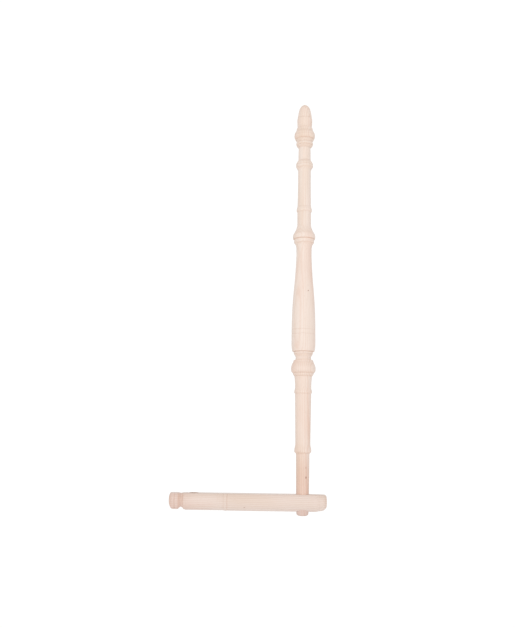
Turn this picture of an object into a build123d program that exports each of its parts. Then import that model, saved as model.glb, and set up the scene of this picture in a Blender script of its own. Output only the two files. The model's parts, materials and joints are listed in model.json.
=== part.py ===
from build123d import *
import os

# A spinning wheel's distaff: a turned arm that lies across the wheel, and a tall turned post that
# stands in a hole near the arm's end. All sizes are in millimetres. The origin is where the axis of
# the wheel-pin bore meets the arm's centre line. +X runs along the arm to the post, and +Z is up.

# arm, along X
arm_tail = -34.0          # end of the knob beyond the wheel-pin bore
arm_nose = 183.1          # domed end beyond the post
arm_radius = 13.75
arm_waist_radius = 13.35
arm_neck_radius = 9.3
knob_radius = 12.8
arm_flat_height = 9.8     # planed top above the arm's centre line
wheel_bore_radius = 6.0
wheel_bore_depth = 18.0   # blind: it does not come out of the arm's underside
post_reach = 150.0        # wheel-pin bore to post

# fits
running_gap = 0.05        # radial clearance where one piece turns or slides in another
tenon_radius = 8.9
stub_radius = 8.4         # rubbed thinner where the tenon comes out below the arm
spigot_radius = 6.0
spigot_length = 25.0
socket_spare = 1.0        # empty depth left below a spigot
finial_spigot_radius = 4.0
finial_spigot_length = 18.0
lead_chamfer = 0.8        # on the end of every spigot

# heights along the post, above the arm's centre line
tenon_foot = -19.1
foot_ring_height = 66.6
shaft_ring_height = 149.0
ball_foot = 173.2
seat_height = 195.4       # the flat top of the ball, where the upper post stands
vase_foot = 208.2
vase_belly = 217.4
vase_neck = 347.4
bell_foot = 359.8
bell_lip = 372.1
shaft_bead_height = 412.1
staff_ring_height = 474.8
staff_top = 524.0         # where the finial stands
finial_crown = 529.6
finial_groove = 557.4
tip_height = 578.8

# radii along the post
shaft_foot_radius = 10.55
shaft_top_radius = 11.35
ball_radius = 17.5
vase_radius = 17.05
vase_neck_radius = 11.0
bell_radius = 16.3
staff_radius = 10.0
staff_top_radius = 8.7
cup_rim_radius = 13.6
finial_radius = 15.3
tip_flat_radius = 0.6

arm_plane = Plane(origin=(0, 0, 0), x_dir=(0, 0, 1), z_dir=(0, 1, 0))
post_plane = Plane(origin=(post_reach, 0, 0), x_dir=(1, 0, 0), z_dir=(0, -1, 0))
post_axis = Axis((post_reach, 0, 0), (0, 0, 1))


def turned_outline(start, cuts):
    """Draw half of a turned outline, and close it on the axis.

    start is the first (radius, station). Each cut is (radius, station, bow): a straight cut where
    bow is 0, a bead where it is positive and a hollow where it is negative. bow is how far the
    arc stands off its chord.
    """
    last = Vector(*start)
    Line((0, last.Y), last)
    for radius, station, bow in cuts:
        end = Vector(radius, station)
        if bow:
            chord = end - last
            outward = Vector(chord.Y, -chord.X).normalized()
            ThreePointArc(last, (last + end) * 0.5 + outward * bow, end)
        else:
            Line(last, end)
        last = end
    Line(last, (0, last.Y))
    Line((0, last.Y), (0, start[1]))


def scribed(radius, station, depth=0.35, half_width=0.35):
    """A fine V line cut into a turned surface, as cuts for turned_outline."""
    return [
        (radius, station - half_width, 0),
        (radius - depth, station, 0),
        (radius, station + half_width, 0),
    ]


def ogee_ring(foot, lower_root, crown, top_root, length):
    """A ring with a sharp hollow ledge under it and a long ogee slope above it."""
    return [
        (lower_root, foot - 1.2, 0),
        (crown - 0.4, foot, -0.15),
        (crown, foot + 0.22 * length, 0.1),
        (crown - 0.3, foot + 0.52 * length, 0.05),
        (top_root, foot + length, -0.12),
    ]


# ---- distaff_arm: turned along X, planed flat on top, bored for the wheel pin and for the post
knob_cuts = [
    (knob_radius - 3.6, arm_tail + 1.3, 0.35),
    (knob_radius, arm_tail + 6.2, 1.05),
    *scribed(knob_radius, arm_tail + 8.0, depth=0.5, half_width=0.6),
    (knob_radius, arm_tail + 10.2, 0),
    (knob_radius - 0.9, arm_tail + 13.2, 0.3),
    (arm_neck_radius, arm_tail + 16.1, -0.2),
    (knob_radius - 0.2, arm_tail + 20.0, -0.5),
    (arm_waist_radius + 0.15, arm_tail + 24.6, 0.25),
]
waist_cuts = [
    (arm_waist_radius + 0.15, 8.0, 0),
    (arm_waist_radius, 31.0, 0),
    *scribed(arm_waist_radius, 33.2, depth=0.15, half_width=0.7),
    *scribed(arm_waist_radius, 36.1, depth=0.15, half_width=0.7),
    *scribed(arm_waist_radius, 39.0, depth=0.15, half_width=0.7),
    (arm_waist_radius, 41.4, 0),
    (arm_radius + 0.1, 42.2, 0.1),
    (arm_radius + 0.15, 45.2, 0.05),
    *scribed(arm_radius, 46.3, depth=0.45, half_width=0.7),
]
nose_cuts = [
    (arm_radius, arm_nose - 15.5, 0),
    (arm_radius - 0.8, arm_nose - 11.2, 0.08),
    *scribed(arm_radius - 0.9, arm_nose - 10.2, depth=0.2, half_width=0.6),
    (arm_radius - 1.8, arm_nose - 5.2, 0.08),
    (arm_radius - 4.3, arm_nose - 1.6, 0.45),
    (arm_radius - 6.2, arm_nose, 0.25),
]
with BuildPart() as distaff_arm:
    with BuildSketch(arm_plane):
        with BuildLine():
            turned_outline((4.5, arm_tail), knob_cuts + waist_cuts + nose_cuts)
        make_face()
    revolve(axis=Axis.X)
    split(bisect_by=Plane.XY.offset(arm_flat_height), keep=Keep.BOTTOM)
    with Locations((0, 0, arm_flat_height)):
        Hole(radius=wheel_bore_radius, depth=wheel_bore_depth)
    with Locations((post_reach, 0, arm_flat_height)):
        Hole(radius=tenon_radius + running_gap)
distaff_arm.part.label = "distaff_arm"

# ---- lower_post: tenon, shaft and the ball that holds the socket
tenon_cuts = [
    (stub_radius, tenon_foot + 3.2, 0.95),
    (stub_radius, tenon_foot + 5.2, 0),
    (tenon_radius, tenon_foot + 7.0, 0),
    (tenon_radius, arm_flat_height + 1.5, 0),
    (tenon_radius + 0.5, foot_ring_height - 2.6, 0),
]
shaft_cuts = [
    *ogee_ring(foot_ring_height, tenon_radius + 0.8, 11.85, shaft_foot_radius, 11.2),
    (shaft_foot_radius, foot_ring_height + 16.8, 0),
    (shaft_top_radius, shaft_ring_height - 4.0, 0),
    *ogee_ring(shaft_ring_height, shaft_top_radius, 12.6, shaft_top_radius + 0.1, 6.9),
    (shaft_top_radius + 0.1, shaft_ring_height + 10.4, 0),
    (shaft_top_radius + 1.2, ball_foot - 0.2, -0.15),
]
ball_cuts = [
    (ball_radius - 3.3, ball_foot + 1.7, 0.3),
    (ball_radius - 2.8, ball_foot + 3.4, 0.15),
    (ball_radius - 2.6, ball_foot + 4.0, -0.2),
    (ball_radius - 0.5, ball_foot + 6.4, 0.25),
    (ball_radius, ball_foot + 9.2, 0.08),
    (ball_radius - 0.1, ball_foot + 12.0, 0),
    (ball_radius - 3.2, seat_height - 2.5, 0.35),
    (ball_radius - 3.8, seat_height, 0.15),
]
with BuildPart() as lower_post:
    with BuildSketch(post_plane):
        with BuildLine():
            turned_outline((4.7, tenon_foot), tenon_cuts + shaft_cuts + ball_cuts)
        make_face()
    revolve(axis=post_axis)
    with BuildSketch(Plane.XY.offset(seat_height)):
        with Locations((post_reach, 0)):
            Circle(spigot_radius + running_gap)
    extrude(amount=-(spigot_length + socket_spare), mode=Mode.SUBTRACT)
lower_post.part.label = "lower_post"

# ---- upper_post: spigot, neck, vase, bell and the slim staff above it
neck_cuts = [
    (10.85, seat_height + 3.6, -0.25),
    (13.2, seat_height + 8.2, -0.35),
    (12.85, seat_height + 8.8, 0),
    (13.6, seat_height + 9.5, 0),
    (13.85, seat_height + 11.7, 0.12),
    (13.5, vase_foot - 0.6, 0),
]
vase_cuts = [
    (vase_radius - 1.4, vase_foot - 0.3, 0),
    (vase_radius - 1.15, vase_foot, 0.1),
    (vase_radius, vase_belly, 0.2),
    *scribed(vase_radius - 0.05, vase_belly + 15.0, depth=0.3, half_width=0.5),
    *scribed(vase_radius - 0.1, vase_belly + 21.5, depth=0.3, half_width=0.5),
    (13.4, vase_neck - 41.0, 0.85),
    (vase_neck_radius, vase_neck, -0.25),
    (vase_neck_radius + 0.2, bell_foot - 0.5, -0.05),
]
bell_cuts = [
    (11.6, bell_foot + 1.2, -0.05),
    (12.6, bell_foot + 4.2, -0.3),
    (bell_radius - 2.3, bell_foot + 6.2, -0.25),
    (bell_radius - 1.9, bell_foot + 7.2, 0.15),
    (bell_radius - 1.6, bell_lip - 1.5, 0.05),
    (bell_radius - 2.0, bell_lip - 0.8, 0),
    (bell_radius - 0.4, bell_lip, 0),
    (bell_radius, bell_lip + 2.4, 0.1),
    (bell_radius - 0.7, bell_lip + 6.9, 0.25),
    (staff_radius + 0.15, bell_lip + 19.6, -0.68),
    (staff_radius, bell_lip + 22.4, 0),
]
bead_cuts = [
    (staff_radius, shaft_bead_height, 0),
    (staff_radius + 0.75, shaft_bead_height + 1.2, 0),
    (staff_radius + 1.2, shaft_bead_height + 2.6, 0.08),
    (staff_radius + 0.9, shaft_bead_height + 5.6, 0.06),
    (staff_radius - 0.05, shaft_bead_height + 8.3, 0.1),
]
staff_ring_cuts = [
    (9.4, staff_ring_height - 20.4, -0.12),
    (9.4, staff_ring_height, 0),
    (10.6, staff_ring_height + 3.8, -0.25),
    (11.1, staff_ring_height + 4.9, 0),
    (12.1, staff_ring_height + 6.3, 0.1),
    (12.6, staff_ring_height + 8.0, 0.12),
    *scribed(12.45, staff_ring_height + 9.8, depth=0.4, half_width=0.5),
    (12.2, staff_ring_height + 11.5, 0.05),
    (9.4, staff_ring_height + 16.0, 0.4),
    (9.05, staff_ring_height + 20.0, -0.06),
]
cup_cuts = [
    (8.95, staff_top - 18.6, 0),
    (staff_top_radius, staff_top - 13.2, -0.05),
    (11.0, staff_top - 10.6, 0.05),
    *scribed(11.75, staff_top - 9.3, depth=0.5, half_width=0.4),
    (12.5, staff_top - 7.4, 0.1),
    (12.2, staff_top - 5.4, 0.15),
    (11.4, staff_top - 4.2, 0),
    (cup_rim_radius, staff_top - 0.5, -0.25),
    (cup_rim_radius - 0.5, staff_top, 0),
]
with BuildPart() as upper_post:
    with BuildSketch(post_plane):
        with BuildLine():
            turned_outline(
                (11.9, seat_height),
                neck_cuts + vase_cuts + bell_cuts + bead_cuts + staff_ring_cuts + cup_cuts,
            )
        make_face()
    revolve(axis=post_axis)
    with BuildSketch(Plane.XY.offset(seat_height)):
        with Locations((post_reach, 0)):
            Circle(spigot_radius)
    extrude(amount=-spigot_length)
    spigot_rim = upper_post.edges().sort_by(Axis.Z)[0]
    chamfer(spigot_rim, length=lead_chamfer)
    with BuildSketch(Plane.XY.offset(staff_top)):
        with Locations((post_reach, 0)):
            Circle(finial_spigot_radius)
    extrude(amount=-(finial_spigot_length + socket_spare), mode=Mode.SUBTRACT)
upper_post.part.label = "upper_post"

# ---- finial: turned acorn, its spigot glued into the top of the staff
finial_cuts = [
    (cup_rim_radius + 0.2, staff_top + 0.6, 0),
    (finial_radius - 0.15, finial_crown - 1.4, 0.25),
    (finial_radius, finial_crown, 0.05),
    (finial_radius - 0.4, finial_crown + 0.7, 0),
    (finial_radius - 0.3, finial_crown + 1.3, 0),
    (finial_radius - 0.55, finial_crown + 3.6, 0.15),
    (12.7, finial_crown + 7.0, 0.1),
    (11.9, finial_crown + 11.0, -0.15),
    (10.8, finial_crown + 13.1, -0.2),
    (10.7, finial_crown + 15.0, 0),
    (11.15, finial_groove - 6.0, 0.06),
    (11.05, finial_groove - 1.4, 0.05),
    (10.3, finial_groove, 0),
    (10.45, finial_groove + 1.4, 0),
    (8.4, tip_height - 9.0, 0.2),
    (tip_flat_radius, tip_height, 1.6),
]
with BuildPart() as finial:
    with BuildSketch(post_plane):
        with BuildLine():
            turned_outline((cup_rim_radius - 0.5, staff_top), finial_cuts)
        make_face()
    revolve(axis=post_axis)
    with BuildSketch(Plane.XY.offset(staff_top)):
        with Locations((post_reach, 0)):
            Circle(finial_spigot_radius)
    extrude(amount=-finial_spigot_length)
    finial_rim = finial.edges().sort_by(Axis.Z)[0]
    chamfer(finial_rim, length=lead_chamfer)
finial.part.label = "finial"

os.makedirs("parts", exist_ok=True)
export_step(distaff_arm.part, "parts/distaff_arm.step")
export_step(lower_post.part, "parts/lower_post.step")
export_step(upper_post.part, "parts/upper_post.step")
export_step(finial.part, "parts/finial.step")
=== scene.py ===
import json
import math

import bmesh
import bpy
import numpy as np
from mathutils import Euler, Matrix, Vector


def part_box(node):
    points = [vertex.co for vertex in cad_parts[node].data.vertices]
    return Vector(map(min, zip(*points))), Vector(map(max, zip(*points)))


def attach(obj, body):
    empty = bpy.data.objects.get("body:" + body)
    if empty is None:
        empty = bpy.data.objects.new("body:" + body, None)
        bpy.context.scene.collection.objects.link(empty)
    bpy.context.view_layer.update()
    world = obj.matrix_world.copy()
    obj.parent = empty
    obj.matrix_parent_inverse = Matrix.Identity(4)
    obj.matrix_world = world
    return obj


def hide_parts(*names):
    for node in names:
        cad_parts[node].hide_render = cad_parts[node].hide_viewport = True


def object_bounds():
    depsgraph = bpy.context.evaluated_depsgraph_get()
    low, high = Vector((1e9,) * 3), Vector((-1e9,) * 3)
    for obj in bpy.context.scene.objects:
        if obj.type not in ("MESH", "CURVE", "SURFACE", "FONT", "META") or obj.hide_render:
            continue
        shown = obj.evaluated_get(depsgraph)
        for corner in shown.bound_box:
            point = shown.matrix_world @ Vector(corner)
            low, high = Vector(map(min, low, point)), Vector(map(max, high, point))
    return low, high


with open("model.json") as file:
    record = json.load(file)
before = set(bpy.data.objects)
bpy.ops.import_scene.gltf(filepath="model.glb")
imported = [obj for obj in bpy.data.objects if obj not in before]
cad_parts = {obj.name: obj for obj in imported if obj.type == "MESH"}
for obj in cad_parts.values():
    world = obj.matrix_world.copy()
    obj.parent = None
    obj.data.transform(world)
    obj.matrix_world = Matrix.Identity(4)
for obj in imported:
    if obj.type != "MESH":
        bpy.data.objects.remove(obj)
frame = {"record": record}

# The looks of a spinning wheel's distaff in bare turned alder: an arm, a post in two lengths and a
# finial. Outlines are in millimetres, everything in the scene is in metres.
MM = 0.001
cad_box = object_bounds()

# ---- places, from the frame
arm_low, arm_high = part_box("distaff_arm")
lower_low, lower_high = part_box("lower_post")
upper_low, upper_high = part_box("upper_post")
finial_low, finial_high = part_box("finial")
post_x = (lower_low.x + lower_high.x) / 2
seat_z = lower_high.z                      # the ball's flat top, where the upper post stands
staff_top_z = upper_high.z                 # where the finial stands
wheel_bore = next(m for m in frame["record"]["mounts"] if m["name"] == "wheel_pin_bore")

# ---- sizes in millimetres
arm_length = (arm_high.x - arm_low.x) / MM
bore_station = -arm_low.x / MM             # from the knob's end to the wheel-pin bore
arm_radius = 13.75
arm_waist_radius = 13.35
arm_neck_radius = 9.3
knob_radius = 12.8
wheel_bore_radius = wheel_bore["dims"]["r_mm"]
wheel_bore_depth = 18.0                    # blind
tenon_radius = 8.9
stub_radius = 8.4
running_gap = 0.05                         # radial clearance of the turning and sliding fits
seat_station = (lower_high.z - lower_low.z) / MM
ball_foot = seat_station - 22.2
ball_radius = 17.5
spigot_radius = 6.0
spigot_length = (seat_z - upper_low.z) / MM
socket_depth = spigot_length + 1.0
staff_length = (staff_top_z - seat_z) / MM
vase_radius = 17.05
bell_radius = 16.3
bell_foot = 164.4
bell_lip = 176.7
bead_foot = 216.7
staff_ring_foot = 279.4
staff_radius = 10.0
finial_height = (finial_high.z - staff_top_z) / MM
finial_radius = 15.3
cup_rim_radius = 13.6
finial_crown = 5.6
finial_groove = 33.4
finial_spigot_radius = 4.0
finial_spigot_length = (staff_top_z - finial_low.z) / MM


# ---- turned outlines
def scribed(radius, station, depth=0.35, half_width=0.35):
    """A fine V line cut with the skew chisel's point."""
    return [
        (radius, station - half_width, 0),
        (radius - depth, station, 0),
        (radius, station + half_width, 0),
    ]


def ogee_ring(foot, lower_root, crown, top_root, length):
    """A ring with a sharp hollow ledge under it and a long ogee slope above it."""
    return [
        (lower_root, foot - 1.2, 0),
        (crown - 0.4, foot, -0.15),
        (crown, foot + 0.22 * length, 0.1),
        (crown - 0.3, foot + 0.52 * length, 0.05),
        (top_root, foot + length, -0.12),
    ]


def arm_outline():
    """From the knob's end to the domed nose."""
    knob = [
        (knob_radius - 3.6, 1.3, 0.35),
        (knob_radius, 6.2, 1.05),
        *scribed(knob_radius, 8.0, depth=0.5, half_width=0.6),
        (knob_radius, 10.2, 0),
        (knob_radius - 0.9, 13.2, 0.3),
        (arm_neck_radius, 16.1, -0.2),
        (knob_radius - 0.2, 20.0, -0.5),
        (arm_waist_radius + 0.15, 24.6, 0.25),
    ]
    waist = [
        (arm_waist_radius + 0.15, bore_station + 8.0, 0),
        (arm_waist_radius, bore_station + 31.0, 0),
    ]
    for station in (33.2, 36.1, 39.0):
        waist += scribed(arm_waist_radius, bore_station + station, depth=0.15, half_width=0.7)
    waist += [
        (arm_waist_radius, bore_station + 41.4, 0),
        (arm_radius + 0.1, bore_station + 42.2, 0.1),
        (arm_radius + 0.15, bore_station + 45.2, 0.05),
        *scribed(arm_radius, bore_station + 46.3, depth=0.45, half_width=0.7),
    ]
    # the gouge's last passes at the nose were left unsanded: fine rings 1.7 mm apart
    nose = []
    for station in (24.4, 22.7, 21.0, 19.3, 17.6):
        nose += scribed(arm_radius, arm_length - station, depth=0.07, half_width=0.6)
    nose += [
        (arm_radius, arm_length - 15.5, 0),
        (arm_radius - 0.8, arm_length - 11.2, 0.08),
        *scribed(arm_radius - 0.9, arm_length - 10.2, depth=0.2, half_width=0.6),
        *scribed(arm_radius - 1.2, arm_length - 7.6, depth=0.12, half_width=0.6),
        (arm_radius - 1.8, arm_length - 5.2, 0.05),
        (arm_radius - 4.3, arm_length - 1.6, 0.45),
        (arm_radius - 6.2, arm_length, 0.25),
        (0, arm_length, 0),
    ]
    return [(0, 0), (4.5, 0)], knob + waist + nose


def lower_post_outline():
    """From the tenon's rounded foot, up to the ball, and down into its socket."""
    tenon = [
        (stub_radius, 3.2, 0.95),
        (stub_radius, 5.2, 0),
        (tenon_radius, 7.0, 0),
        (tenon_radius, 30.4, 0),
        (tenon_radius + 0.5, 83.1, 0),
    ]
    shaft = [
        *ogee_ring(85.7, tenon_radius + 0.8, 11.85, 10.55, 11.2),
        (10.55, 102.5, 0),
        (11.35, 164.1, 0),
        *ogee_ring(168.1, 11.35, 12.6, 11.45, 6.9),
        (11.45, 178.5, 0),
        (12.55, ball_foot - 0.2, -0.15),
    ]
    ball = [
        (ball_radius - 3.3, ball_foot + 1.7, 0.3),
        (ball_radius - 2.8, ball_foot + 3.4, 0.15),
        (ball_radius - 2.6, ball_foot + 4.0, -0.2),
        (ball_radius - 0.5, ball_foot + 6.4, 0.25),
        (ball_radius, ball_foot + 9.2, 0.08),
        (ball_radius - 0.1, ball_foot + 12.0, 0),
        (ball_radius - 3.2, seat_station - 2.5, 0.35),
        (ball_radius - 3.8, seat_station, 0.15),
    ]
    socket_radius = spigot_radius + running_gap
    socket = [
        (socket_radius + 0.4, seat_station, 0),
        (socket_radius, seat_station - 0.4, 0),
        (socket_radius, seat_station - socket_depth, 0),
        (0, seat_station - socket_depth, 0),
    ]
    return [(0, 0), (4.7, 0)], tenon + shaft + ball + socket


def upper_post_outline():
    """From the spigot's end, up to the cup, and down into the finial's hole."""
    spigot = [
        (spigot_radius, 0.8 - spigot_length, 0),
        (spigot_radius, 0, 0),
        (11.9, 0, 0),
    ]
    neck = [
        (10.85, 3.6, -0.25),
        (13.2, 8.2, -0.35),
        (12.85, 8.8, 0),
        (13.6, 9.5, 0),
        (13.85, 11.7, 0.12),
        (13.5, 12.2, 0),
    ]
    vase = [
        (vase_radius - 1.4, 12.5, 0),
        (vase_radius - 1.15, 12.8, 0.1),
        (vase_radius, 22.0, 0.2),
        *scribed(vase_radius - 0.05, 37.0, depth=0.3, half_width=0.5),
        *scribed(vase_radius - 0.1, 43.5, depth=0.3, half_width=0.5),
        (13.4, 111.0, 0.85),
        (11.0, 152.0, -0.25),
        (11.2, bell_foot - 0.5, -0.05),
    ]
    bell = [
        (11.6, bell_foot + 1.2, -0.05),
        (12.6, bell_foot + 4.2, -0.3),
        (bell_radius - 2.3, bell_foot + 6.2, -0.25),
        (bell_radius - 1.9, bell_foot + 7.2, 0.15),
        (bell_radius - 1.6, bell_lip - 1.5, 0.05),
        (bell_radius - 2.0, bell_lip - 0.8, 0),
        (bell_radius - 0.4, bell_lip, 0),
        (bell_radius, bell_lip + 2.4, 0.1),
        (bell_radius - 0.7, bell_lip + 6.9, 0.25),
        (staff_radius + 0.15, bell_lip + 19.6, -0.68),
        (staff_radius, bell_lip + 22.4, 0),
    ]
    bead = [
        (staff_radius, bead_foot, 0),
        (staff_radius + 0.75, bead_foot + 1.2, 0),
        (staff_radius + 1.2, bead_foot + 2.6, 0.08),
        (staff_radius + 0.9, bead_foot + 5.6, 0.06),
        (staff_radius - 0.05, bead_foot + 8.3, 0.1),
    ]
    ring = [
        (9.4, 259.0, -0.12),
        (9.4, staff_ring_foot, 0),
        (10.6, staff_ring_foot + 3.8, -0.25),
        (11.1, staff_ring_foot + 4.9, 0),
        (12.1, staff_ring_foot + 6.3, 0.1),
        (12.6, staff_ring_foot + 8.0, 0.12),
        *scribed(12.45, staff_ring_foot + 9.8, depth=0.4, half_width=0.5),
        (12.2, staff_ring_foot + 11.5, 0.05),
        (9.4, staff_ring_foot + 16.0, 0.4),
        (9.05, staff_ring_foot + 20.0, -0.06),
    ]
    cup = [
        (8.95, staff_length - 18.6, 0),
        (8.7, staff_length - 13.2, -0.05),
        (11.0, staff_length - 10.6, 0.05),
        *scribed(11.75, staff_length - 9.3, depth=0.5, half_width=0.4),
        (12.5, staff_length - 7.4, 0.1),
        (12.2, staff_length - 5.4, 0.15),
        (11.4, staff_length - 4.2, 0),
        (cup_rim_radius, staff_length - 0.5, -0.25),
        (cup_rim_radius - 0.5, staff_length, 0),
        (finial_spigot_radius, staff_length, 0),
        (finial_spigot_radius, staff_length - finial_spigot_length - 1.0, 0),
        (0, staff_length - finial_spigot_length - 1.0, 0),
    ]
    start = [(0, -spigot_length), (spigot_radius - 0.8, -spigot_length)]
    return start, spigot + neck + vase + bell + bead + ring + cup


def finial_outline():
    """From the glued spigot's end to the acorn's tip."""
    acorn = [
        (finial_spigot_radius, 0.8 - finial_spigot_length, 0),
        (finial_spigot_radius, 0, 0),
        (cup_rim_radius - 0.5, 0, 0),
        (cup_rim_radius + 0.2, 0.6, 0),
        (finial_radius - 0.15, finial_crown - 1.4, 0.25),
        (finial_radius, finial_crown, 0.05),
        (finial_radius - 0.4, finial_crown + 0.7, 0),
        (finial_radius - 0.3, finial_crown + 1.3, 0),
        (finial_radius - 0.55, finial_crown + 3.6, 0.15),
        (12.7, finial_crown + 7.0, 0.1),
        (11.9, finial_crown + 11.0, -0.15),
        (10.8, finial_crown + 13.1, -0.2),
        (10.7, finial_crown + 15.0, 0),
        (11.15, finial_groove - 6.0, 0.06),
        (11.05, finial_groove - 1.4, 0.05),
        (10.3, finial_groove, 0),
        (10.45, finial_groove + 1.4, 0),
        (8.4, finial_height - 9.0, 0.2),
        (0.6, finial_height, 1.6),
        (0, finial_height, 0),
    ]
    start = [(0, -finial_spigot_length), (finial_spigot_radius - 0.8, -finial_spigot_length)]
    return start, acorn


def arc_points(start, end, bow, spacing):
    """Points after start, up to end, on the arc that stands bow off its chord."""
    start, end = np.array(start), np.array(end)
    chord = end - start
    half = np.linalg.norm(chord) / 2
    count = max(2, math.ceil(2 * half / spacing))
    along = np.linspace(0, 1, count + 1)[1:, None]
    if bow == 0:
        return start + chord * along
    outward = np.array([chord[1], -chord[0]]) / (2 * half) * math.copysign(1, bow)
    radius = (half**2 + bow**2) / (2 * abs(bow))
    half_angle = 2 * math.atan(abs(bow) / half)
    angle = (2 * along - 1) * half_angle
    middle = (start + end) / 2
    lift = radius * (np.cos(angle) - math.cos(half_angle))
    return middle + chord / (2 * half) * radius * np.sin(angle) + outward * lift


def soften(points, reach):
    """Rounds every arris a little, as sandpaper held on the spinning wood does."""
    weights = np.exp(-0.5 * (np.arange(-3, 4) / 1.5) ** 2)
    weights /= weights.sum()
    for _ in range(reach):
        padded = np.pad(points, ((3, 3), (0, 0)), mode="edge")
        blurred = sum(w * padded[i:i + len(points)] for i, w in enumerate(weights))
        points[3:-3] = blurred[3:-3]
    return points


def creases(points, spacing):
    """How deep each point lies in a crease, from 0 to 1."""
    window = round(0.9 / spacing)
    mean = np.convolve(np.pad(points[:, 0], window, mode="edge"),
                       np.ones(2 * window + 1) / (2 * window + 1), mode="valid")
    return np.clip((mean - points[:, 0] - 0.03) / 0.3, 0, 1)


def thinned(points, longest=1.4, bend=math.radians(6)):
    """The points to keep: close together on curves, and longest apart on straight stretches."""
    kept = [0]
    walked = turned = 0.0
    for i in range(1, len(points) - 1):
        before, after = points[i] - points[i - 1], points[i + 1] - points[i]
        walked += np.linalg.norm(before)
        cross = before[0] * after[1] - before[1] * after[0]
        turned += abs(math.atan2(cross, float(before @ after)))
        if walked > longest or turned > bend:
            kept.append(i)
            walked = turned = 0.0
    return kept + [len(points) - 1]


def outline_object(name, outline, spacing=0.08):
    """A mesh of bare points along the outline: x is the radius, z the station, in metres."""
    start, cuts = outline
    pieces = [np.array([start[0]]), arc_points(start[0], start[1], 0, spacing)]
    last = start[1]
    for radius, station, bow in cuts:
        pieces.append(arc_points(last, (radius, station), bow, spacing))
        last = (radius, station)
    points = soften(np.vstack(pieces), reach=2)
    depth = creases(points, spacing)
    kept = thinned(points)
    mesh = bpy.data.meshes.new(name)
    mesh.from_pydata([(points[i, 0] * MM, 0, points[i, 1] * MM) for i in kept], [], [])
    # the crease depth goes along with the points; the wood darkens the creases by it as painted
    # shade
    crease = mesh.attributes.new("crease", "FLOAT", "POINT")
    for slot, i in enumerate(kept):
        crease.data[slot].value = depth[i]
    piece = bpy.data.objects.new(name, mesh)
    bpy.context.scene.collection.objects.link(piece)
    return piece


# ---- nodes
def add(tree, kind, settings=None, inputs=None):
    """Adds a node: settings are its properties, inputs are values or the sockets that feed it."""
    made = tree.nodes.new(kind)
    for key, value in (settings or {}).items():
        setattr(made, key, value)
    for key, value in (inputs or {}).items():
        if isinstance(value, bpy.types.NodeSocket):
            tree.links.new(value, made.inputs[key])
        else:
            made.inputs[key].default_value = value
    return made


def maths(tree, operation, first, second=0.0, third=0.0):
    """One arithmetic step."""
    inputs = {0: first, 1: second, 2: third}
    return add(tree, "ShaderNodeMath", {"operation": operation}, inputs).outputs[0]


def lathe_tree():
    """Spins bare outline points about Z: the lathe's rule, with its chatter."""
    tree = bpy.data.node_groups.new("lathe", "GeometryNodeTree")
    face = tree.interface
    face.new_socket("Outline", in_out="INPUT", socket_type="NodeSocketGeometry")
    face.new_socket("Rows", in_out="INPUT", socket_type="NodeSocketInt")
    face.new_socket("Segments", in_out="INPUT", socket_type="NodeSocketInt")
    face.new_socket("Chatter", in_out="INPUT", socket_type="NodeSocketFloat")
    face.new_socket("Seed", in_out="INPUT", socket_type="NodeSocketFloat")
    face.new_socket("Wood", in_out="INPUT", socket_type="NodeSocketMaterial")
    face.new_socket("Turned", in_out="OUTPUT", socket_type="NodeSocketGeometry")
    given = add(tree, "NodeGroupInput").outputs
    columns = maths(tree, "ADD", given["Segments"], 1)
    sheet = add(tree, "GeometryNodeMeshGrid", None,
                {"Vertices X": columns, "Vertices Y": given["Rows"]}).outputs["Mesh"]
    index = add(tree, "GeometryNodeInputIndex").outputs[0]
    row = maths(tree, "MODULO", index, given["Rows"])
    column = maths(tree, "FLOOR", maths(tree, "DIVIDE", index, given["Rows"]))
    turn = maths(tree, "MULTIPLY", maths(tree, "DIVIDE", column, given["Segments"]), math.tau)
    place = add(tree, "GeometryNodeInputPosition").outputs[0]
    on_line = add(tree, "GeometryNodeSampleIndex", {"data_type": "FLOAT_VECTOR"},
                  {"Geometry": given["Outline"], "Value": place, "Index": row})
    parts = add(tree, "ShaderNodeSeparateXYZ", None, {0: on_line.outputs[0]}).outputs
    crease = add(tree, "GeometryNodeInputNamedAttribute", {"data_type": "FLOAT"},
                 {"Name": "crease"}).outputs[0]
    crease_here = add(tree, "GeometryNodeSampleIndex", {"data_type": "FLOAT"},
                      {"Geometry": given["Outline"], "Value": crease, "Index": row}).outputs[0]
    # chatter only ever cuts inwards, and fades to nothing at the axis
    ripple = add(tree, "ShaderNodeTexNoise", {"noise_dimensions": "2D"},
                 {"Vector": add(tree, "ShaderNodeCombineXYZ", None,
                                {0: parts[2], 1: given["Seed"]}).outputs[0],
                  "Scale": 420.0, "Detail": 2.0}).outputs["Fac"]
    bite = maths(tree, "MULTIPLY", ripple, given["Chatter"])
    bite = maths(tree, "MINIMUM", bite, maths(tree, "MULTIPLY", parts[0], 0.01))
    radius = maths(tree, "SUBTRACT", parts[0], bite)
    turned_place = add(tree, "ShaderNodeCombineXYZ", None, {
        0: maths(tree, "MULTIPLY", radius, maths(tree, "COSINE", turn)),
        1: maths(tree, "MULTIPLY", radius, maths(tree, "SINE", turn)),
        2: parts[2],
    }).outputs[0]
    shaped = add(tree, "GeometryNodeSetPosition", None,
                 {"Geometry": sheet, "Position": turned_place}).outputs[0]
    marked = add(tree, "GeometryNodeStoreNamedAttribute",
                 {"data_type": "FLOAT", "domain": "POINT"},
                 {"Geometry": shaped, "Name": "crease", "Value": crease_here}).outputs[0]
    closed = add(tree, "GeometryNodeMergeByDistance", None,
                 {"Geometry": marked, "Distance": 2e-6}).outputs[0]
    smooth = add(tree, "GeometryNodeSetShadeSmooth", None, {"Geometry": closed}).outputs[0]
    real = add(tree, "GeometryNodeRealizeInstances", None, {"Geometry": smooth}).outputs[0]
    finished = add(tree, "GeometryNodeSetMaterial", None,
                   {"Geometry": real, "Material": given["Wood"]}).outputs[0]
    add(tree, "NodeGroupOutput", None, {"Turned": finished})
    return tree


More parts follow.
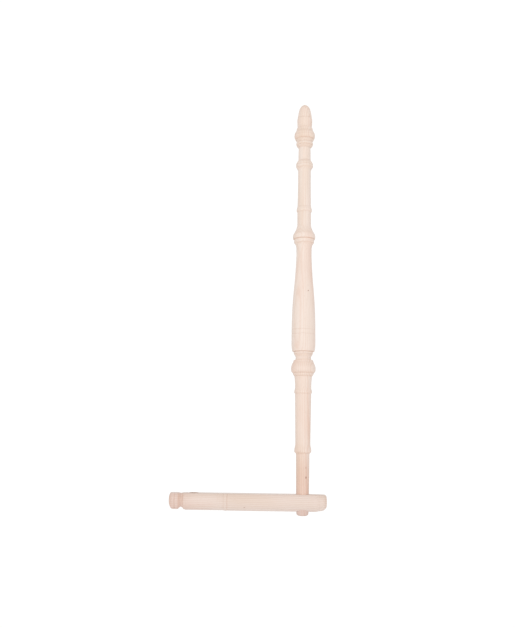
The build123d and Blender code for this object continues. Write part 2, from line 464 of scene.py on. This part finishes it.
def turned(name, outline, tree, wood, seed, segments=128):
    """A closed mesh object of the outline spun about Z, with its normals outwards."""
    blank = outline_object(name + "_outline", outline)
    lathe = blank.modifiers.new("lathe", "NODES")
    lathe.node_group = tree
    sockets = {s.name: s.identifier for s in tree.interface.items_tree if s.in_out == "INPUT"}
    lathe[sockets["Rows"]] = len(blank.data.vertices)
    lathe[sockets["Segments"]] = segments
    lathe[sockets["Chatter"]] = 0.03 * MM
    lathe[sockets["Seed"]] = seed
    lathe[sockets["Wood"]] = wood
    evaluated = blank.evaluated_get(bpy.context.evaluated_depsgraph_get())
    mesh = bpy.data.meshes.new_from_object(evaluated)
    mesh.name = name
    blank.modifiers.remove(lathe)
    bpy.data.objects.remove(blank)
    form = bmesh.new()
    form.from_mesh(mesh)
    bmesh.ops.recalc_face_normals(form, faces=form.faces)
    form.to_mesh(mesh)
    form.free()
    piece = bpy.data.objects.new(name, mesh)
    bpy.context.scene.collection.objects.link(piece)
    return piece


# ---- wood
WAVE_PERIOD = 0.31416                      # metres between the wave texture's rings at scale 1


def linear(code):
    """A linear colour from an sRGB hex code."""
    values = [int(code[i:i + 2], 16) / 255 for i in (1, 3, 5)]
    spread = [v / 12.92 if v <= 0.04045 else ((v + 0.055) / 1.055) ** 2.4 for v in values]
    return (*spread, 1.0)


def mixed(tree, share, first, second, blend="MIX"):
    """Two colours mixed by share."""
    settings = {"data_type": "RGBA", "blend_type": blend}
    return add(tree, "ShaderNodeMix", settings, {0: share, 6: first, 7: second}).outputs[2]


def ramped(tree, share, stops):
    """A grey or coloured ramp; stops are (place, colour)."""
    ramp = add(tree, "ShaderNodeValToRGB", None, {0: share})
    elements = ramp.color_ramp.elements
    while len(elements) < len(stops):
        elements.new(0.5)
    for element, (place, colour) in zip(elements, stops):
        element.position = place
        element.color = colour
    return ramp.outputs[0]


def bare_alder(name, along_x, centre, pith, seed, pale, deep, knots=(), stains_and_shade=()):
    """Alder, turned and sanded, with no finish: pale pinkish tan, matt, with faint growth rings.

    pith is where the tree's middle lay, in millimetres from the piece's axis. knots are
    (place in metres, half width, half length along the grain, strength), sizes in millimetres.
    pale and deep are the wood between the growth rings and in them. The stains and painted shade
    are (axis, where it starts, where it is full, colour), in metres along that axis: wax, handling
    and dust, and a painted shade on the lower post's stub under the arm.
    """
    wood = bpy.data.materials.new(name)
    wood.use_nodes = True
    tree = wood.node_tree
    tree.nodes.clear()
    where = add(tree, "ShaderNodeTexCoord").outputs
    # the grain runs along the blank: turn it to Z, with the blank's axis at the origin
    turn = Euler((0, -math.pi / 2, 0)) if along_x else Euler((0, 0, 0))
    place = add(tree, "ShaderNodeMapping", {"vector_type": "TEXTURE"}, {
        "Vector": where["Object"], "Location": centre, "Rotation": turn}).outputs[0]
    facing = add(tree, "ShaderNodeMapping", {"vector_type": "TEXTURE"}, {
        "Vector": where["Normal"], "Rotation": turn}).outputs[0]

    # growth rings 2.4 mm apart, about a pith outside the blank, so that they show as long flames
    about_pith = add(tree, "ShaderNodeMapping", None, {
        "Vector": place, "Location": (pith[0] * MM, pith[1] * MM, seed * 0.1),
        "Rotation": (math.radians(1.1), math.radians(-0.8), 0)}).outputs[0]
    sway = add(tree, "ShaderNodeTexNoise", None, {
        "Vector": add(tree, "ShaderNodeMapping", None, {
            "Vector": place, "Location": (0, 0, seed), "Scale": (1, 1, 0.12)}).outputs[0],
        "Scale": 55.0, "Detail": 2.0, "Roughness": 0.5}).outputs["Color"]
    swayed = add(tree, "ShaderNodeVectorMath", {"operation": "MULTIPLY_ADD"}, {
        0: sway, 1: (0.004, 0.004, 0), 2: about_pith}).outputs[0]
    rings = add(tree, "ShaderNodeTexWave", {"wave_type": "RINGS", "rings_direction": "Z"}, {
        "Vector": swayed, "Scale": WAVE_PERIOD / (2.4 * MM), "Distortion": 0.8, "Detail": 2.0,
        "Detail Scale": 1.5}).outputs["Fac"]
    ring_share = ramped(tree, rings, [(0.0, (0, 0, 0, 1)), (0.72, (0.35, 0.35, 0.35, 1)),
                                      (0.93, (1, 1, 1, 1))])

    # fibres 0.5 mm wide and 40 mm long, drawn a little coarser than they are so that they show
    fibre_place = add(tree, "ShaderNodeMapping", None, {
        "Vector": place, "Location": (seed, 0, 0), "Scale": (1, 1, 0.012)}).outputs[0]
    fibres = add(tree, "ShaderNodeTexNoise", None, {
        "Vector": fibre_place, "Scale": 1 / (0.9 * MM), "Detail": 3.0,
        "Roughness": 0.6}).outputs["Fac"]
    # pores and ray flecks: brown dashes 0.3 mm wide and 2 to 4 mm long
    fleck_place = add(tree, "ShaderNodeMapping", None, {
        "Vector": place, "Location": (0, seed, 0), "Scale": (1, 1, 0.14)}).outputs[0]
    fleck_noise = add(tree, "ShaderNodeTexNoise", None, {
        "Vector": fleck_place, "Scale": 1 / (0.75 * MM), "Detail": 1.0}).outputs["Fac"]
    flecks = ramped(tree, fleck_noise, [(0.66, (0, 0, 0, 1)), (0.74, (1, 1, 1, 1))])
    # broad drift of tone over 60 to 80 mm
    drift = add(tree, "ShaderNodeTexNoise", None, {
        "Vector": add(tree, "ShaderNodeMapping", None, {
            "Vector": place, "Location": (seed, seed, 0), "Scale": (1, 1, 0.35)}).outputs[0],
        "Scale": 22.0, "Detail": 2.0}).outputs["Fac"]

    colour = mixed(tree, ring_share, linear(pale), linear(deep))
    tone = ramped(tree, drift, [(0.3, linear("#fdf3ef")), (0.5, linear("#ffffff")),
                                (0.7, linear("#faf7f2"))])
    colour = mixed(tree, 1.0, colour, tone, "MULTIPLY")
    fibre_tone = ramped(tree, fibres, [(0.3, linear("#faf7f4")), (0.6, linear("#ffffff"))])
    colour = mixed(tree, 0.8, colour, fibre_tone, "MULTIPLY")
    colour = mixed(tree, maths(tree, "MULTIPLY", flecks, 0.16), colour, linear("#bd8a6b"))

    # end grain, where a cut crosses the fibres, drinks the light: darker and warmer
    across = add(tree, "ShaderNodeSeparateXYZ", None, {0: facing}).outputs[2]
    end_grain = maths(tree, "POWER", maths(tree, "ABSOLUTE", across), 1.8)
    colour = mixed(tree, maths(tree, "MULTIPLY", end_grain, 0.35), colour, linear("#e2b696"))
    # painted shade: the creases are darkened brown, standing in for the shade that falls in them,
    # with a little burnish from the chisel's point and the sandpaper
    crease = add(tree, "ShaderNodeAttribute", {"attribute_name": "crease"}).outputs["Fac"]
    colour = mixed(tree, maths(tree, "MULTIPLY", crease, 0.42), colour, linear("#a98069"))

    along = add(tree, "ShaderNodeSeparateXYZ", None, {0: where["Object"]}).outputs
    # each entry multiplies the colour along one axis: real stains, and on the lower post's stub a
    # painted shade
    for axis, start, full, tint in stains_and_shade:
        share = add(tree, "ShaderNodeMapRange", {"interpolation_type": "SMOOTHSTEP"}, {
            0: along[axis], 1: start, 2: full, 3: 0.0, 4: 1.0}).outputs[0]
        colour = mixed(tree, share, colour, linear(tint), "MULTIPLY")

    for spot, half_width, half_length, strength in knots:
        stretch = Vector((half_width, half_width, half_length)) * MM
        if along_x:
            stretch = stretch.zyx
        near = add(tree, "ShaderNodeMapping", {"vector_type": "TEXTURE"}, {
            "Vector": where["Object"], "Location": spot, "Scale": stretch}).outputs[0]
        reach = add(tree, "ShaderNodeVectorMath", {"operation": "LENGTH"}, {0: near}).outputs[1]
        ragged = maths(tree, "MULTIPLY_ADD", fibres, 0.5, reach)
        shade = ramped(tree, ragged, [(0.45, (1, 1, 1, 1)), (1.25, (0, 0, 0, 1))])
        colour = mixed(tree, maths(tree, "MULTIPLY", shade, strength), colour,
                       linear("#8d5233"))

    # tool marks round the piece, 0.8 mm apart, and raised fibres: all within 0.05 mm
    marks = add(tree, "ShaderNodeTexNoise", None, {
        "Vector": add(tree, "ShaderNodeMapping", None, {
            "Vector": place, "Scale": (0.02, 0.02, 1)}).outputs[0],
        "Scale": 1 / (0.8 * MM), "Detail": 3.0}).outputs["Fac"]
    height = maths(tree, "MULTIPLY_ADD", marks, 0.5, maths(tree, "MULTIPLY", fibres, 0.5))
    height = maths(tree, "SUBTRACT", height, maths(tree, "MULTIPLY", flecks, 0.3))
    relief = add(tree, "ShaderNodeBump", None, {
        "Strength": 0.5, "Distance": 0.12 * MM, "Height": height}).outputs[0]
    roughness = maths(tree, "MULTIPLY_ADD", fibres, 0.14, 0.55)
    shader = add(tree, "ShaderNodeBsdfPrincipled", None, {
        "Base Color": colour, "Roughness": roughness, "IOR": 1.5, "Normal": relief,
        "Sheen Weight": 0.4, "Sheen Roughness": 0.4})
    add(tree, "ShaderNodeOutputMaterial", None, {"Surface": shader.outputs[0]})
    return wood


# ---- pieces
def moved(piece, change):
    """Moves a piece's mesh, so that its object stays at the origin."""
    piece.data.transform(change)
    return piece


def plane_top(piece, height, easing):
    """Planes the arm flat at this height, and sands the long arrises soft."""
    for vertex in piece.data.vertices:
        z = vertex.co.z
        vertex.co.z = (z + height - math.hypot(z - height, easing)) / 2
    form = bmesh.new()
    form.from_mesh(piece.data)
    bmesh.ops.remove_doubles(form, verts=form.verts, dist=2e-6)
    form.to_mesh(piece.data)
    form.free()


def drilled(piece, x, radius, top, bottom, inside):
    """Drills a vertical hole with slightly eased mouths, down to bottom or out below."""
    ease = 0.35 * MM
    reach = 2 * MM
    profile = [(radius + reach + ease, top + reach), (radius, top - ease), (radius, bottom)]
    drill = bmesh.new()
    segments = 96
    loops = []
    for r, z in profile:
        loop = [drill.verts.new((x + r * math.cos(a), r * math.sin(a), z))
                for a in (math.tau * i / segments for i in range(segments))]
        loops.append(loop)
    for low, high in zip(loops[1:], loops):
        for i in range(segments):
            j = (i + 1) % segments
            drill.faces.new((low[i], low[j], high[j], high[i]))
    drill.faces.new(loops[0])
    drill.faces.new(reversed(loops[-1]))
    bmesh.ops.recalc_face_normals(drill, faces=drill.faces)
    mesh = bpy.data.meshes.new("drill")
    drill.to_mesh(mesh)
    drill.free()
    mesh.materials.append(inside)
    cutter = bpy.data.objects.new("drill", mesh)
    bpy.context.scene.collection.objects.link(cutter)
    cut = piece.modifiers.new("bore", "BOOLEAN")
    cut.operation = "DIFFERENCE"
    cut.solver = "EXACT"
    cut.material_mode = "TRANSFER"
    cut.object = cutter
    evaluated = piece.evaluated_get(bpy.context.evaluated_depsgraph_get())
    result = bpy.data.meshes.new_from_object(evaluated)
    piece.modifiers.remove(cut)
    piece.data = result
    bpy.data.objects.remove(cutter)


def drilled_alder():
    """The wall of a drilled hole: torn end grain, a darker brown than the outside, partly painted
    shade for the inside of the hole.
    """
    wood = bpy.data.materials.new("drilled_alder_end_grain_painted_shade")
    wood.use_nodes = True
    tree = wood.node_tree
    tree.nodes.clear()
    where = add(tree, "ShaderNodeTexCoord").outputs["Object"]
    torn = add(tree, "ShaderNodeTexNoise", None, {
        "Vector": where, "Scale": 1 / (1.1 * MM), "Detail": 3.0}).outputs["Fac"]
    # darker brown: partly the end grain's own colour, partly painted shade inside the hole
    colour = ramped(tree, torn, [(0.35, linear("#b58f78")), (0.65, linear("#c8a58e"))])
    relief = add(tree, "ShaderNodeBump", None, {
        "Strength": 0.6, "Distance": 0.15 * MM, "Height": torn}).outputs[0]
    shader = add(tree, "ShaderNodeBsdfPrincipled", None, {
        "Base Color": colour, "Roughness": 0.85, "Normal": relief})
    add(tree, "ShaderNodeOutputMaterial", None, {"Surface": shader.outputs[0]})
    return wood


def distaff_arm(tree):
    knot = (Vector((0.070, -0.0108, -0.0082)), 1.5, 2.4, 0.45)
    wood = bare_alder("bare_alder_arm", True, (0, 0, 0), (58, 21), 3.0,
                      "#ebdad0", "#e5d0c4", [knot], [(0, 0.012, -0.030, "#f9f1ef")])
    piece = turned("distaff_arm_turned", arm_outline(), tree, wood, 3.0)
    moved(piece, Matrix.Translation((arm_low.x, 0, 0)) @ Matrix.Rotation(math.pi / 2, 4, "Y"))
    plane_top(piece, arm_high.z, 0.9 * MM)
    inside = drilled_alder()
    drilled(piece, 0, wheel_bore_radius * MM, arm_high.z,
            arm_high.z - wheel_bore_depth * MM, inside)
    drilled(piece, post_x, (tenon_radius + running_gap) * MM, arm_high.z,
            arm_low.z - 4 * MM, inside)
    piece.data.set_sharp_from_angle(angle=math.radians(38))
    return piece


def lower_post(tree):
    knots = [
        (Vector((post_x + 0.0040, -0.0083, 0.0462)), 1.3, 2.8, 0.4),
        (Vector((post_x + 0.0042, -0.0081, 0.0328)), 1.9, 3.0, 0.75),
    ]
    wood = bare_alder("bare_alder_lower_post", False, (post_x, 0, 0), (-47, 38), 11.0,
                      "#f1dfd3", "#ecd4c5", knots,
                      # the first tint is the tenon's warmer stain; the second is painted shade,
                      # the stub under the arm drawn darker and bluer from 6 mm below the arm's
                      # axis
                      [(2, 0.085, 0.025, "#f7ebe6"), (2, -0.0060, -0.0100, "#f3f8ff")])
    piece = turned("lower_post_turned", lower_post_outline(), tree, wood, 11.0)
    return moved(piece, Matrix.Translation((post_x, 0, lower_low.z)))


def upper_post(tree):
    knot = (Vector((post_x + 0.0056, -0.0134, 0.2938)), 1.6, 1.8, 0.7)
    wood = bare_alder("bare_alder_upper_post", False, (post_x, 0, 0), (36, 52), 17.0,
                      "#f1e1d6", "#eedacd", [knot])
    piece = turned("upper_post_turned", upper_post_outline(), tree, wood, 17.0)
    return moved(piece, Matrix.Translation((post_x, 0, seat_z)))


def finial(tree):
    wood = bare_alder("bare_alder_finial", False, (post_x, 0, 0), (-30, 44), 23.0,
                      "#f1dfd2", "#ecd4c5")
    piece = turned("finial_turned", finial_outline(), tree, wood, 23.0)
    return moved(piece, Matrix.Translation((post_x, 0, staff_top_z)))


# ---- studio
WHITE = (1, 1, 1, 1)
SEEN_STRENGTH = 1.05                       # just past white, so the surroundings look blank
ROOM_STRENGTH = 0.73
TABLE_STRENGTH = 0.87
SENSOR_WIDTH = 36.0
LENS_LENGTH = 43.0
CAMERA_LEFT = 0.0661                       # of the post, in metres
CAMERA_DISTANCE = 1.063
CAMERA_HEIGHT = 0.0964
CAMERA_TILT = math.radians(8.8)
CAMERA_ROLL = math.radians(0.9)


def seen_white(tree, lit):
    """White where the camera sees it, and the lit shader for all other light."""
    glow = add(tree, "ShaderNodeEmission", None, {"Color": WHITE, "Strength": SEEN_STRENGTH})
    seen = add(tree, "ShaderNodeLightPath").outputs["Is Camera Ray"]
    return add(tree, "ShaderNodeMixShader", None, {0: seen, 1: lit, 2: glow.outputs[0]}).outputs[0]


def floor():
    """A plain white light table, well under the part, which the wheel holds up."""
    half = 6.0
    z = cad_box[0].z - 0.25
    mesh = bpy.data.meshes.new("floor")
    mesh.from_pydata([(-half, -half, z), (half, -half, z), (half, half, z), (-half, half, z)],
                     [], [(0, 1, 2, 3)])
    table = bpy.data.materials.new("white_light_table")
    table.use_nodes = True
    tree = table.node_tree
    tree.nodes.clear()
    glow = add(tree, "ShaderNodeEmission", None,
               {"Color": WHITE, "Strength": TABLE_STRENGTH}).outputs[0]
    add(tree, "ShaderNodeOutputMaterial", None, {"Surface": seen_white(tree, glow)})
    mesh.materials.append(table)
    ground = bpy.data.objects.new("floor", mesh)
    bpy.context.scene.collection.objects.link(ground)


def softbox(name, place, target, size, power):
    """A square soft light that faces its target."""
    lamp = bpy.data.lights.new(name, "AREA")
    lamp.size = size
    lamp.energy = power
    light = bpy.data.objects.new(name, lamp)
    light.location = place
    light.rotation_euler = (Vector(target) - Vector(place)).to_track_quat("-Z", "Y").to_euler()
    bpy.context.scene.collection.objects.link(light)


def studio():
    """White surroundings, with one large softbox above and behind the camera."""
    world = bpy.data.worlds.new("white_room")
    world.use_nodes = True
    tree = world.node_tree
    tree.nodes.clear()
    room = add(tree, "ShaderNodeBackground", None,
               {"Color": WHITE, "Strength": ROOM_STRENGTH}).outputs[0]
    add(tree, "ShaderNodeOutputWorld", None, {"Surface": seen_white(tree, room)})
    bpy.context.scene.world = world
    bpy.context.scene.view_settings.view_transform = "Standard"
    middle = (post_x, 0, 0.28)
    softbox("front_softbox", (post_x - 0.15, -1.7, 0.5), middle, 0.9, 9.0)


def camera():
    """Level with the lower post and tilted up, a little left of the post."""
    lens = bpy.data.cameras.new("camera")
    lens.sensor_width = SENSOR_WIDTH
    lens.lens = LENS_LENGTH
    viewer = bpy.data.objects.new("camera", lens)
    viewer.location = (post_x - CAMERA_LEFT, -CAMERA_DISTANCE, CAMERA_HEIGHT)
    viewer.rotation_euler = (Matrix.Rotation(math.pi / 2 + CAMERA_TILT, 3, "X")
                             @ Matrix.Rotation(CAMERA_ROLL, 3, "Z")).to_euler()
    bpy.context.scene.collection.objects.link(viewer)
    bpy.context.scene.camera = viewer


camera()
studio()
floor()
lathe = lathe_tree()
for piece, node, body in (
    (distaff_arm(lathe), "distaff_arm", "arm"),
    (lower_post(lathe), "lower_post", "lower_post"),
    (upper_post(lathe), "upper_post", "upper_post"),
    (finial(lathe), "finial", "upper_post"),
):
    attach(piece, body)
    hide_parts(node)
